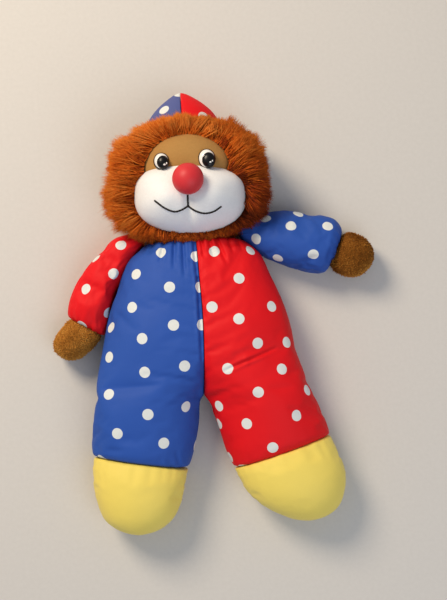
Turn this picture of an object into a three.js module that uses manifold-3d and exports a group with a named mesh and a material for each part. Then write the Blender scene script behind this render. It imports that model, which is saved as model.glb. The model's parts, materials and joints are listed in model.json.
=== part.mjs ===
// A clown lion hand puppet lying on its back: stuffed head, arms and legs round a hand pocket
// that opens in the back. Millimetres; +X to the puppet's own left, +Y towards the hat,
// +Z out of the belly, z = 0 on the surface that it lies on.
import * as THREE from "three";
import { mergeVertices } from "three/addons/utils/BufferGeometryUtils.js";
import Module from "manifold-3d";

const wasm = await Module();
wasm.setup();

// ---- driving dimensions -------------------------------------------------------------------
const CLOTH = 1.6; // wall of every sewn cover, its seam allowance and backing included
const GAP = 0.3; // left between two pieces that touch
const RUNNING_GAP = 0.6; // left between two covers that move past each other
const ORIGIN_SHIFT = [-17.85, -3.38]; // puts the origin under the middle of the whole puppet
const SIDE_SEAM_Z = 29; // height of the seam between the front and back panels
const BIG = 600;

const NECK = [0, 61, 26]; // where the head turns and nods
const NECK_BALL_R = 16;
const SHOULDER = [56, 64, 19.5]; // of the left arm; the right one is its mirror image
const SHOULDER_BALL_R = 13;
const ARM_ANGLE = { left: -14, right: -56 }; // below level, in degrees
const ARM_LOWEST = -56;
const HIP = [46, -52, 38]; // on the line that both legs swing about
const HIP_ROUND_R = 39;
const LEG_SPLAY = 13.5; // outwards, in degrees
const FOOT_SEAM = 73; // along the leg, from the hip
const WRIST = 68; // along the arm, from the shoulder
const SLEEVE_HALF_WIDTH = 22;

// Soft forms: [distance along the form, half width, half depth, height of the middle].
const TORSO = [
  [-60, 0, 0, 29],
  [-58, 70, 24, 29],
  [-45, 85, 29.5, 29],
  [-20, 80.5, 32, 29.5],
  [5, 74, 31.5, 29],
  [25, 67, 28, 27.5],
  [41, 61.5, 24, 25.5],
  [51, 54, 19.5, 25],
  [57, 46, 15, 25],
  [61, 35, 11, 25.5],
  [64, 19, 6, 26],
  [66.5, 0, 0, 26],
];
const LEG = [
  [-60, 0, 0, 29],
  [-54, 41, 28, 29],
  [0, 42, 30, 29],
  [38, 43, 28, 27],
  [FOOT_SEAM, 43, 27, 26],
  [FOOT_SEAM + 17, 46, 27, 26],
  [FOOT_SEAM + 33, 46, 26, 25.5],
  [FOOT_SEAM + 47, 40, 23.5, 24],
  [FOOT_SEAM + 57, 28, 18, 22],
  [FOOT_SEAM + 61.5, 15, 10, 20.5],
  [FOOT_SEAM + 64.5, 0, 0, 20],
];
const SLEEVE = [
  [-13, 0, 0, 19.5],
  [-9.2, 9.2, 9.2, 19.5],
  [0, 13, 13, 19.5],
  [12, 16.5, 16, 19.5],
  [26, 21, 19, 19.5],
  [44, SLEEVE_HALF_WIDTH, 19.5, 19.5],
  [WRIST - 10, 20, 18, 19],
  [WRIST - 3, 13.5, 13.5, 18],
  [WRIST, 0, 0, 18],
];
const HAND = [
  [WRIST - 12, 0, 0, 17.5],
  [WRIST - 8, 8.6, 8.6, 17.5],
  [WRIST + 3, 8.8, 8.8, 17.5],
  [WRIST + 6, 14, 12, 17],
  [WRIST + 14, 19, 15.5, 16.5],
  [WRIST + 24, 19.5, 16, 16.5],
  [WRIST + 33, 15, 13, 16],
  [WRIST + 36.5, 8.5, 8, 15.5],
  [WRIST + 39.5, 0, 0, 15.5],
];
const POCKET = [
  [-20, 0, 0, 11],
  [-17, 22, 6, 11],
  [-6, 30, 10.5, 14.5],
  [20, 33, 12.5, 16.5],
  [42, 31, 12, 18],
  [51, 20, 10, 20],
  [54, 0, 0, 21],
];
const SLIT = { halfWidth: 9, low: -14, high: 40 };

// Ellipsoids of the head: centre and radii.
const HEAD_BALL = { at: [0, 112.5, 39], r: [48, 42, 36] };
const CHEEK = { at: [17, 94.5, 60], r: [28, 26, 26] };
const MANE = { at: [0, 119, 36], r: [65, 51, 37.5] };
const FACE_OPENING = { at: [0, 107.5, 60], r: [46, 43, BIG] };
const HAT = { at: [0, 156, 30], r: [32, 37, 27] };
const MANE_SEAM_Z = 33; // between the mane's front ring and its back
const BROW_Y = 121.5; // seam between the forehead and the muzzle

const NOSE = { at: [0, 107.5, 84.5], r: 12 };
const EYE = { at: [18.2, 127.5, 68], r: [6.6, 7.6, 5] };
const PUPIL = { shift: [1.2, -1, 1.2], r: [5.2, 6, 4.8] };
const STEM_R = { nose: 2.4, eye: 1.6 };
const WASHER = { nose: { r: 8, thick: 1.6, below: 19 }, eye: { r: 5.5, thick: 1.4, below: 10.5 } };
const MOUTH_THREAD_R = 0.8;
const MOUTH = {
  lip: [[0, 94.5], [0, 91], [0, 88]], // down the middle, to the fork
  smile: [[0, 88], [5.5, 83.5], [12, 81], [19, 83], [26, 88.5]], // one side of it
};
const TUBE = { r: 12, wall: 1.4, from: 78, to: 117, z: 29 };
const CUP = { r: 10.7, wall: 1.7, room: 1 };
const FINGER_R = { torso: 9.2, sleeve: 8.4 }; // of the ways that the fingers take
const BINDING = { width: 1.8, from: 0.2, to: 2.2 }; // round the slit, and its heights
const CUFF_R = 9.6;
const ELASTIC = { inner: 9.3, outer: 11, width: 2 };
const BAND = { inner: 10.8, outer: 15.2, edge: 14.6, halfWidth: 3 };

// ---- materials ----------------------------------------------------------------------------
const finish = (color, roughness) =>
  new THREE.MeshStandardMaterial({ color, roughness, metalness: 0 });
const MATERIAL = {
  blue: () => finish(0x3a5caf, 0.85),
  red: () => finish(0xdf2226, 0.85),
  yellow: () => finish(0xe7cf68, 0.85),
  tanPlush: () => finish(0x96662c, 0.95),
  whiteVelour: () => finish(0xe6e2dc, 0.9),
  fur: () => finish(0xb45a1c, 0.95),
  redNose: () => finish(0xc9363c, 0.5),
  eyeWhite: () => finish(0xf2f0ec, 0.2),
  eyeBlack: () => finish(0x0b0b0d, 0.15),
  thread: () => finish(0x1a1715, 0.8),
  lining: () => finish(0xd9d2c4, 0.9),
  stuffing: () => finish(0xf1efe8, 0.95),
  washer: () => finish(0xe9e6df, 0.4),
  elastic: () => finish(0xf4f2ee, 0.8),
  card: () => finish(0xb08d5c, 0.9),
};

// ---- solids -------------------------------------------------------------------------------
function solidOf(geometry) {
  const bare = geometry.clone();
  bare.deleteAttribute("normal");
  bare.deleteAttribute("uv");
  const merged = mergeVertices(bare, 1e-3);
  const index = merged.index.array;
  const kept = [];
  for (let i = 0; i < index.length; i += 3) {
    const [a, b, c] = [index[i], index[i + 1], index[i + 2]];
    if (a !== b && b !== c && c !== a) kept.push(a, b, c);
  }
  return new wasm.Manifold(
    new wasm.Mesh({
      numProp: 3,
      vertProperties: new Float32Array(merged.attributes.position.array),
      triVerts: new Uint32Array(kept),
    }),
  );
}

function geometryOf(solid) {
  const mesh = solid.getMesh();
  const geometry = new THREE.BufferGeometry();
  geometry.setAttribute("position", new THREE.BufferAttribute(mesh.vertProperties, 3));
  geometry.setIndex(new THREE.BufferAttribute(mesh.triVerts, 1));
  const flat = geometry.toNonIndexed();
  flat.computeVertexNormals();
  return flat;
}

// A stuffed form along +Y with elliptical sections, shrunk by `inset` all round.
function softForm(stations, inset = 0, sides = 14) {
  const middle = (stations[0][0] + stations.at(-1)[0]) / 2;
  const half = stations.at(-1)[0] - middle;
  const shorter = (half - inset) / half;
  const profile = stations.map(
    ([along, width]) =>
      new THREE.Vector2(width && width - inset, middle + (along - middle) * shorter),
  );
  const form = new THREE.LatheGeometry(profile, sides);
  const place = form.attributes.position;
  for (let v = 0; v < place.count; v++) {
    const [, width, depth, height] = stations[v % stations.length];
    const squash = width ? (depth - inset) / (width - inset) : 1;
    place.setZ(v, place.getZ(v) * squash + height);
  }
  return solidOf(form);
}

function ball([x, y, z], r, grow = 0, around = 14, rows = 7) {
  const [rx, ry, rz] = Array.isArray(r) ? r : [r, r, r];
  const shape = new THREE.SphereGeometry(1, around, rows);
  shape.scale(rx + grow, ry + grow, rz + grow);
  return solidOf(shape.translate(x, y, z));
}

// The box between two corners.
function block(low, high) {
  const size = low.map((v, i) => high[i] - v);
  const middle = low.map((v, i) => (v + high[i]) / 2);
  return solidOf(new THREE.BoxGeometry(...size).translate(...middle));
}

// A round bar along "x", "y" or "z".
function bar(axis, [x, y, z], r, length, sides = 12) {
  const shape = new THREE.CylinderGeometry(r, r, length, sides);
  if (axis === "x") shape.rotateZ(Math.PI / 2);
  if (axis === "z") shape.rotateX(Math.PI / 2);
  return solidOf(shape.translate(x, y, z));
}

const above = (axis, value) => {
  const low = [-BIG, -BIG, -BIG];
  low["xyz".indexOf(axis)] = value;
  return block(low, [BIG, BIG, BIG]);
};
const below = (axis, value) => {
  const high = [BIG, BIG, BIG];
  high["xyz".indexOf(axis)] = value;
  return block([-BIG, -BIG, -BIG], high);
};

// Turns a solid about +Z at the origin, then moves it.
function placed(solid, degrees, [x, y, z]) {
  return solid.rotate([0, 0, degrees]).translate([x, y, z]);
}
const onFloor = (solid, height = 0) => solid.intersect(above("z", height));
const mirrored = (solid) => solid.mirror([1, 0, 0]);

const puppet = new THREE.Group();
puppet.name = "clown_lion_hand_puppet";
puppet.position.set(ORIGIN_SHIFT[0], ORIGIN_SHIFT[1], 0);

function addPart(group, name, solid, material) {
  const mesh = new THREE.Mesh(geometryOf(solid), MATERIAL[material]());
  mesh.name = name;
  group.add(mesh);
}

function newGroup() {
  const group = new THREE.Group();
  puppet.add(group);
  return group;
}

// ---- limbs, in the puppet's frame -----------------------------------------------------------
// The left arm's forms point along +Y from the shoulder; this turns them to the arm's angle.
function onArm(solid, degrees) {
  return placed(solid, degrees - 90, [SHOULDER[0], SHOULDER[1], 0]);
}

function onLeg(solid) {
  const hanging = solid.rotate([0, 0, 180]).rotate([0, 0, LEG_SPLAY]);
  return hanging.translate([HIP[0], HIP[1], 0]);
}

// The space that both arms need beside the torso, from their lowest upwards.
function armSpaces(grow) {
  const halfWidth = SLEEVE_HALF_WIDTH + 1.2 + grow;
  const reach = 110;
  const behind = -11;
  const beside = block([-80, behind, -10], [halfWidth, reach, 90]);
  const turned = placed(beside, ARM_LOWEST - 90, [SHOULDER[0], SHOULDER[1], 0]);
  const left = turned.add(ball(SHOULDER, SHOULDER_BALL_R, RUNNING_GAP + grow));
  return left.add(mirrored(left));
}

const torsoForm = (inset) =>
  onFloor(softForm(TORSO, inset), inset).subtract(armSpaces(inset));

// Room for the legs' round tops and for the neck band, where the covers stay open.
function torsoEnds() {
  const hipRound = bar("x", [0, HIP[1], HIP[2]], HIP_ROUND_R + RUNNING_GAP, BIG, 24);
  return hipRound.add(ball(NECK, NECK_BALL_R + GAP));
}

// Ways from the pocket to the head and to both arms.
function fingerTunnels(r) {
  const left = bar("x", [SHOULDER[0] - 18, SHOULDER[1] - 12, SHOULDER[2]], r, 36);
  const up = bar("y", [0, NECK[1] - 12, NECK[2] - 2], r, 30);
  return left.add(mirrored(left)).add(up);
}

function buildTorso() {
  const group = newGroup();
  const slitHole = block(
    [-SLIT.halfWidth, SLIT.low, -5],
    [SLIT.halfWidth, SLIT.high, SIDE_SEAM_Z - 12],
  );
  const tunnels = fingerTunnels(FINGER_R.torso);
  const ends = torsoEnds();
  const cover = torsoForm(0)
    .subtract(torsoForm(CLOTH))
    .subtract(ends)
    .subtract(slitHole)
    .subtract(tunnels);
  const halves = { blue: below("x", -GAP / 2), red: above("x", GAP / 2) };
  const front = above("z", SIDE_SEAM_Z + GAP / 2);
  const back = below("z", SIDE_SEAM_Z - GAP / 2);
  for (const [colour, half] of Object.entries(halves)) {
    addPart(group, "body_front_" + colour, cover.intersect(half).intersect(front), colour);
    addPart(group, "body_back_" + colour, cover.intersect(half).intersect(back), colour);
  }
  const pocket = softForm(POCKET, 0);
  const hollow = softForm(POCKET, CLOTH).add(slitHole).add(tunnels);
  addPart(group, "pocket_lining", pocket.subtract(hollow), "lining");
  const filling = torsoForm(CLOTH + GAP)
    .subtract(ends)
    .subtract(softForm(POCKET, -GAP))
    .subtract(slitHole)
    .subtract(tunnels);
  addPart(group, "torso_stuffing", filling, "stuffing");
  const frame = (inset, low, high) =>
    block(
      [-SLIT.halfWidth + inset, SLIT.low + inset, low],
      [SLIT.halfWidth - inset, SLIT.high - inset, high],
    );
  const binding = frame(GAP, BINDING.from, BINDING.to).subtract(
    frame(GAP + BINDING.width, -5, 20),
  );
  addPart(group, "slit_binding", binding, "blue");
}

function buildNeckRing() {
  const group = newGroup();
  const profile = [
    [BAND.inner, -BAND.halfWidth],
    [BAND.edge, -BAND.halfWidth],
    [BAND.outer, 0],
    [BAND.edge, BAND.halfWidth],
    [BAND.inner, BAND.halfWidth],
    [BAND.inner, -BAND.halfWidth],
  ].map(([r, y]) => new THREE.Vector2(r, y));
  const ring = solidOf(new THREE.LatheGeometry(profile, 24)).translate(NECK);
  addPart(group, "neck_drawstring_band", ring, "elastic");
}

// ---- head ---------------------------------------------------------------------------------
function headForm(inset) {
  const cheek = ball(CHEEK.at, CHEEK.r, -inset);
  return ball(HEAD_BALL.at, HEAD_BALL.r, -inset, 16, 8)
    .add(cheek)
    .add(mirrored(cheek));
}

// Height of the muzzle's front at a point, where the left or right cheek stands highest.
function muzzleHeight(x, y) {
  const across = (Math.abs(x) - CHEEK.at[0]) / CHEEK.r[0];
  const along = (y - CHEEK.at[1]) / CHEEK.r[1];
  return CHEEK.at[2] + CHEEK.r[2] * Math.sqrt(Math.max(0, 1 - across ** 2 - along ** 2));
}

const nearNose = (below) => [NOSE.at[0], NOSE.at[1], NOSE.at[2] - below];
const nearEye = (below) => [EYE.at[0], EYE.at[1], EYE.at[2] - below];

// The holes in the cover and the filling for the posts of the nose and the eyes.
function postHoles() {
  const nose = bar("z", nearNose(17), STEM_R.nose + GAP, 30);
  const eye = bar("z", nearEye(7), STEM_R.eye + GAP, 30);
  return nose.add(eye).add(mirrored(eye));
}

// Room in the filling for the washers that lock the posts from inside.
function washerRooms() {
  const nose = bar("z", nearNose(17), WASHER.nose.r + 0.4, 10);
  const eye = bar("z", nearEye(8), WASHER.eye.r + 0.4, 12);
  return nose.add(eye).add(mirrored(eye));
}

function washer(kind, at) {
  const { r, thick } = WASHER[kind];
  return bar("z", at, r, thick).subtract(bar("z", at, STEM_R[kind] + GAP, thick + 4));
}

function buildFaceHardware(group) {
  const clear = headForm(-GAP);
  const nose = ball(NOSE.at, NOSE.r, 0, 14, 8)
    .subtract(clear)
    .add(bar("z", nearNose(14), STEM_R.nose, 22));
  addPart(group, "nose_ball", nose, "redNose");
  addPart(group, "nose_washer", washer("nose", nearNose(WASHER.nose.below)), "washer");

  const white = ball(EYE.at, EYE.r, 0, 12, 6)
    .subtract(clear)
    .add(bar("z", nearEye(5), STEM_R.eye, 14));
  const ring = washer("eye", nearEye(WASHER.eye.below));
  for (const [side, turn] of [["left", 1], ["right", -1]]) {
    const facing = turn > 0 ? (s) => s : mirrored;
    const at = [turn * EYE.at[0], EYE.at[1], EYE.at[2]];
    const pupilAt = at.map((v, i) => v + PUPIL.shift[i]); // both look the same way
    const pupil = ball(pupilAt, PUPIL.r, 0, 12, 6)
      .subtract(ball(at, EYE.r, GAP, 12, 6))
      .subtract(clear)
      .intersect(above("z", EYE.at[2] + 2));
    addPart(group, "eye_white_" + side, facing(white), "eyeWhite");
    addPart(group, "eye_pupil_" + side, pupil, "eyeBlack");
    addPart(group, "eye_washer_" + side, facing(ring), "washer");
  }
}

function buildMouth(group) {
  const onMuzzle = ([x, y]) =>
    new THREE.Vector3(x, y, muzzleHeight(x, y) + MOUTH_THREAD_R + GAP * 1.6);
  const strand = (points) => {
    const section = new THREE.Shape().absarc(0, 0, MOUTH_THREAD_R, 0, Math.PI * 2);
    const tube = new THREE.ExtrudeGeometry(section, {
      steps: 7,
      curveSegments: 2,
      bevelEnabled: false,
      extrudePath: new THREE.CatmullRomCurve3(points.map(onMuzzle)),
    });
    return solidOf(tube);
  };
  const otherSmile = MOUTH.smile.map(([x, y]) => [-x, y]);
  const stitch = strand(MOUTH.lip).add(strand(MOUTH.smile)).add(strand(otherSmile));
  addPart(group, "mouth_stitch", stitch, "thread");
}

// The card tube in the head that takes the index finger: a bar of its outline.
function tubeForm(r, from, to) {
  return bar("y", [0, (from + to) / 2, TUBE.z], r, to - from, 14);
}

function buildHead() {
  const group = newGroup();
  const socket = ball(NECK, NECK_BALL_R + RUNNING_GAP);
  const cover = headForm(0)
    .subtract(headForm(CLOTH))
    .subtract(postHoles())
    .subtract(socket)
    .intersect(above("z", MANE_SEAM_Z + 10));
  addPart(group, "forehead", cover.intersect(above("y", BROW_Y + GAP / 2)), "tanPlush");
  addPart(group, "muzzle", cover.intersect(below("y", BROW_Y - GAP / 2)), "whiteVelour");

  const bore = tubeForm(TUBE.r - TUBE.wall, TUBE.from - 5, TUBE.to - 3);
  addPart(group, "head_finger_tube", tubeForm(TUBE.r, TUBE.from, TUBE.to).subtract(bore), "card");
  const tubeRoom = tubeForm(TUBE.r + GAP, TUBE.from - 60, TUBE.to + GAP);
  const filling = headForm(CLOTH + GAP)
    .subtract(socket)
    .subtract(tubeRoom)
    .subtract(washerRooms())
    .subtract(postHoles());
  addPart(group, "head_stuffing", filling, "stuffing");
  buildFaceHardware(group);
  buildMouth(group);

  const opening = ball(FACE_OPENING.at, FACE_OPENING.r);
  const mane = onFloor(ball(MANE.at, MANE.r, 0, 18, 8))
    .subtract(headForm(-GAP))
    .subtract(opening.intersect(above("z", MANE_SEAM_Z + 16)))
    .subtract(tubeRoom)
    .subtract(socket);
  addPart(group, "mane_ring", mane.intersect(above("z", MANE_SEAM_Z + GAP / 2)), "fur");
  addPart(group, "mane_back", mane.intersect(below("z", MANE_SEAM_Z - GAP / 2)), "fur");

  const maneSpace = ball(MANE.at, MANE.r, GAP * 1.5, 18, 8);
  const dome = (inset) =>
    ball(HAT.at, HAT.r, -inset, 14, 8).intersect(above("y", HAT.at[1]));
  const cap = dome(0).subtract(dome(CLOTH)).subtract(maneSpace);
  addPart(group, "hat_panel_blue", cap.intersect(below("x", -GAP / 2)), "blue");
  addPart(group, "hat_panel_red", cap.intersect(above("x", GAP / 2)), "red");
  addPart(group, "hat_stuffing", dome(CLOTH + GAP).subtract(maneSpace), "stuffing");
}

// ---- arms and legs --------------------------------------------------------------------------
function buildArm(side) {
  const group = newGroup();
  const facing = side === "left" ? (s) => s : mirrored;
  const sleeveColour = side === "left" ? "blue" : "red";
  const put = (solid) => facing(onArm(solid, ARM_ANGLE[side]));
  const cupRoom = ball([0, 0, SHOULDER[2]], CUP.r, CUP.room, 12, 8);
  const entryMiddle = [SHOULDER[0] - 12, SHOULDER[1], SHOULDER[2]];
  const entry = facing(bar("x", entryMiddle, FINGER_R.sleeve, 24));

  const cup = ball(SHOULDER, CUP.r, 0, 12, 8)
    .subtract(ball(SHOULDER, CUP.r - CUP.wall, 0, 12, 8))
    .intersect(above("x", SHOULDER[0] - 4));
  addPart(group, "arm_finger_cup_" + side, facing(cup), "lining");

  const inside = softForm(SLEEVE, CLOTH).add(cupRoom);
  const cuffEnd = bar("y", [0, WRIST, HAND[1][3]], CUFF_R, 14);
  const sleeve = put(softForm(SLEEVE).subtract(inside).subtract(cuffEnd)).subtract(entry);
  addPart(group, "sleeve_" + sleeveColour, sleeve, sleeveColour);
  const filling = softForm(SLEEVE, CLOTH + GAP)
    .subtract(cupRoom)
    .intersect(above("y", 2))
    .intersect(below("y", WRIST - 6 - GAP));
  addPart(group, "sleeve_stuffing_" + side, put(filling), "stuffing");

  const handCover = softForm(HAND)
    .subtract(softForm(HAND, CLOTH))
    .intersect(above("y", WRIST - 4));
  addPart(group, "hand_" + side, put(handCover), "tanPlush");
  const palm = softForm(HAND, CLOTH + GAP).intersect(above("y", WRIST - 3.5));
  addPart(group, "hand_stuffing_" + side, put(palm), "stuffing");
  const elasticRound = (r, width) => bar("y", [0, WRIST + 1, HAND[1][3]], r, width, 20);
  const elastic = elasticRound(ELASTIC.outer, ELASTIC.width).subtract(
    elasticRound(ELASTIC.inner, ELASTIC.width + 6),
  );
  addPart(group, "wrist_elastic_" + side, put(elastic), "elastic");
}

function buildLeg(side) {
  const group = newGroup();
  const facing = side === "left" ? (s) => s : mirrored;
  const colour = side === "left" ? "red" : "blue";
  const shape = (inset) => {
    const round = bar("x", [0, HIP[1], HIP[2]], HIP_ROUND_R - inset, BIG, 20);
    return onFloor(onLeg(softForm(LEG, inset)), inset)
      .intersect(below("y", HIP[1]).add(round))
      .intersect(above("x", GAP * 1.5 + inset));
  };
  const upper = onLeg(below("y", FOOT_SEAM - GAP / 2));
  const lower = onLeg(above("y", FOOT_SEAM + GAP / 2));
  const cover = shape(0).subtract(shape(CLOTH));
  const filling = shape(CLOTH + GAP);
  addPart(group, "leg_" + side + "_" + colour, facing(cover.intersect(upper)), colour);
  addPart(group, "foot_" + side, facing(cover.intersect(lower)), "yellow");
  addPart(group, "leg_stuffing_" + side, facing(filling.intersect(upper)), "stuffing");
  addPart(group, "foot_stuffing_" + side, facing(filling.intersect(lower)), "stuffing");
}

buildTorso();
buildNeckRing();
buildHead();
for (const side of ["left", "right"]) {
  buildArm(side);
  buildLeg(side);
}

export default puppet;
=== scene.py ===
"""Looks of the clown lion hand puppet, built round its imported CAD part.

Shapes are given in the puppet's own frame, in millimetres: x = 0 on its centreline with +x to
its own left, +y towards the hat, +z out of the belly and z = 0 on the surface that it lies on.
"""

import json
import math
import random

import bmesh
import bpy
import numpy as np
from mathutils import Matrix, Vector
from mathutils.bvhtree import BVHTree

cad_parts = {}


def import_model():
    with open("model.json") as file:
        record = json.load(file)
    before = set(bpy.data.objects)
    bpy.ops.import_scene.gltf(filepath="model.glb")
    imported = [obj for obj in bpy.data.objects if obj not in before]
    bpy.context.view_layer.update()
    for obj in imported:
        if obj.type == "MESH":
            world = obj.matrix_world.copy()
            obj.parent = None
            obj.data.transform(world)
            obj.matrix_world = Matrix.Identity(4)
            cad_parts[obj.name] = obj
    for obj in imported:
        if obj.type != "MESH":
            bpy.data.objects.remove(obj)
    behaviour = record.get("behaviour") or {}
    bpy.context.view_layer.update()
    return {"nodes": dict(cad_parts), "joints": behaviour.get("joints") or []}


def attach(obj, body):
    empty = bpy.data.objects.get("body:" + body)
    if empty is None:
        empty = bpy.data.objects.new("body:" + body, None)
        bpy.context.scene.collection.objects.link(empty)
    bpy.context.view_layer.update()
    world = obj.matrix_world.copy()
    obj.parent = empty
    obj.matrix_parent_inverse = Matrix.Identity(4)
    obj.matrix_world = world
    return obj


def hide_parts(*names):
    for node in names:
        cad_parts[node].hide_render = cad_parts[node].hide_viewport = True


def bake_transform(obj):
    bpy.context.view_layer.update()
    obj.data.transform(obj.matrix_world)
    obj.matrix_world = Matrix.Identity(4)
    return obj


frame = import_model()
scene = bpy.context.scene

MM = 0.001
JOINT = {joint["name"]: joint for joint in frame["joints"]}
HIP_Y = -52  # of the hips' line in the puppet's frame
NECK_AT = JOINT["head_nod"]["pos_m"]
ORIGIN = np.array([NECK_AT[0], JOINT["leg_swing_left"]["pos_m"][1] - HIP_Y * MM, 0])
SURFACE_GAP = 0.3  # the least height of anything that lies on the surface
LYING = 1.2  # cloth below this height is held by the surface

# The material slots of the record.
DOTTED = {"blue": "blue_dotted_cotton", "red": "red_dotted_cotton"}
YELLOW, TAN, WHITE, FUR = "yellow_cotton", "tan_plush", "white_velour", "mane_fur"
SIDES = ("left", "right")
TURN = {"red": 1, "blue": -1}  # the red half is on the puppet's own left


def world(points):
    """Points of the puppet's frame, in millimetres, as metres in the row frame."""
    return np.asarray(points, float) * MM + ORIGIN


def own(points):
    """Points of the row frame, in metres, as millimetres in the puppet's frame."""
    return (np.asarray(points, float) - ORIGIN) / MM


def in_scene(name, data):
    made = bpy.data.objects.new(name, data)
    scene.collection.objects.link(made)
    return made


def ring_angles(around):
    return np.linspace(0, math.tau, around, endpoint=False)


def unit(vectors):
    return vectors / np.maximum(np.linalg.norm(vectors, axis=-1, keepdims=True), 1e-9)


def run_along(points):
    """The length along a line of points, at each of them."""
    return np.concatenate([[0], np.cumsum(np.linalg.norm(np.diff(points, axis=0), axis=1))])


# ---- shapes ----
SPAN_STEPS = 24  # of a smooth curve, between two stations


def through(stations, count):
    """count rows, evenly spaced, on a smooth curve through the stations.

    A station starts with the plan positions of a section's inner and outer ends."""
    keys = np.array(stations, float)
    ends = np.vstack([2 * keys[0] - keys[1], keys, 2 * keys[-1] - keys[-2]])
    fine = []
    for a, b, c, d in zip(ends, ends[1:], ends[2:], ends[3:]):
        for t in np.linspace(0, 1, SPAN_STEPS, endpoint=False):
            bend = (2 * a - 5 * b + 4 * c - d) * t**2 + (3 * b - a - 3 * c + d) * t**3
            fine.append((2 * b + (c - a) * t + bend) / 2)
    fine = np.array([*fine, keys[-1]])
    run = run_along((fine[:, :2] + fine[:, 2:4]) / 2)
    even = np.linspace(0, run[-1], count)
    return np.array([np.interp(even, run, column) for column in fine.T]).T


def smooth(line, count):
    """count rows, evenly spaced, on a smooth line through plan points."""
    return through(np.hstack([line, line]), count)[:, :2]


def grid_normals(grid):
    """Normals of a grid of rings, each ring closed."""
    around = np.roll(grid, -1, 1) - np.roll(grid, 1, 1)
    return unit(np.cross(around, np.gradient(grid, axis=0)))


def inwards(normals, grid):
    """Whether the normals of a form point into it."""
    return np.einsum("ijk,ijk->", normals, grid - grid.mean((0, 1))) < 0


def folds(position, wavelength, seed):
    """An uneven row of folds, from -1 to 1, over a position in millimetres."""
    dice = random.Random(seed)
    total = np.zeros_like(position)
    for share, ratio in ((0.55, 1.0), (0.3, 0.63), (0.25, 1.71)):
        turn = dice.uniform(0, math.tau)
        total += share * np.sin(math.tau * position / (wavelength * ratio) + turn)
    return total


def cell_corners(grid):
    """The four corners of each cell of a grid, in order."""
    return np.stack([grid[:-1, :-1], grid[:-1, 1:], grid[1:, 1:], grid[1:, :-1]], -1).reshape(-1, 4)


def ring_mesh(name, grid, open_start=False):
    """A piece from a grid of rings in the puppet's frame, with cloth lengths as its UV map."""
    rows, around = grid.shape[:2]
    if inwards(grid_normals(grid), grid):
        grid = grid[:, ::-1]
    points = list(grid.reshape(-1, 3))
    down = run_along(grid.mean(1))
    across = np.array([run_along(ring) for ring in np.hstack([grid, grid[:, :1]])])
    index = np.arange(rows * around).reshape(rows, around)
    faces = cell_corners(np.hstack([index, index[:, :1]])).tolist()
    lengths = cell_corners(across), cell_corners(down[:, None] + 0 * across)
    spots = np.stack(lengths, -1).reshape(-1, 2).tolist()
    for row in [rows - 1] if open_start else [0, rows - 1]:
        middle = len(points)
        points.append(grid[row].mean(0))
        for j in range(around):
            pair = (row * around + j, row * around + (j + 1) % around)
            faces.append((middle, *(pair if row else pair[::-1])))
            spots += [(0, down[row])] * 3
    mesh = bpy.data.meshes.new(name)
    mesh.from_pydata([tuple(p) for p in world(points)], [], faces)
    layer = mesh.uv_layers.new(name="cloth")
    layer.data.foreach_set("uv", (np.array(spots, np.float32) * MM).ravel())
    mesh.validate()
    return as_piece(name, mesh)


def as_piece(name, mesh):
    mesh.polygons.foreach_set("use_smooth", [True] * len(mesh.polygons))
    return in_scene(name, mesh)


def positions(piece):
    flat = np.empty(len(piece.data.vertices) * 3)
    piece.data.vertices.foreach_get("co", flat)
    return flat.reshape(-1, 3)


def set_positions(piece, points):
    piece.data.vertices.foreach_set("co", np.asarray(points, float).ravel())
    piece.data.update()


def settle(piece):
    """Keeps what the piece's modifiers make as its own mesh."""
    graph = bpy.context.evaluated_depsgraph_get()
    made = bpy.data.meshes.new_from_object(
        piece.evaluated_get(graph), preserve_all_data_layers=True, depsgraph=graph
    )
    piece.modifiers.clear()
    piece.data = made


def refine(piece, levels=1, creases=()):
    """Subdivides the piece, presses its creases and keeps where it lies, for its material."""
    piece.modifiers.new("smooth", "SUBSURF").levels = levels
    settle(piece)
    points = own(positions(piece))
    for crease in creases:
        press(points, *crease)
    points[:, 2] = np.maximum(points[:, 2], SURFACE_GAP)
    set_positions(piece, world(points))
    remember_rest(piece)


FRONT_FROM = 20  # pressed folds leave the cloth below this height alone
FOLD_RISE, FOLD_RISE_AT, FOLD_RISE_WIDTH = 0.3, 2.1, 1.2  # of the cloth beside a pressed fold


def press(points, start, end, depth, width):
    """Presses a fold into the front, deepest at its start, with the cloth risen on both sides."""
    start, end = np.array(start, float), np.array(end, float)
    edge = end - start
    share = ((points[:, :2] - start) @ edge / (edge @ edge)).clip(0, 1)
    away = np.linalg.norm(points[:, :2] - (start + share[:, None] * edge), axis=1) / width
    kept = (1 - share**3) * (points[:, 2] > FRONT_FROM)
    rise = FOLD_RISE * np.exp(-((away - FOLD_RISE_AT) ** 2) / FOLD_RISE_WIDTH)
    points[:, 2] -= depth * kept * (np.exp(-(away**2)) - rise)


def remember_rest(piece):
    rest = piece.data.attributes.new("rest", "FLOAT_VECTOR", "POINT")
    rest.data.foreach_set("vector", positions(piece).astype(np.float32).ravel())


SWELL_FRAMES = 22
CLOTH = {
    "quality": 6, "mass": 0.15, "tension_stiffness": 20, "compression_stiffness": 20,
    "shear_stiffness": 8, "bending_stiffness": 0.05, "air_damping": 2, "use_pressure": True,
}


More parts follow.
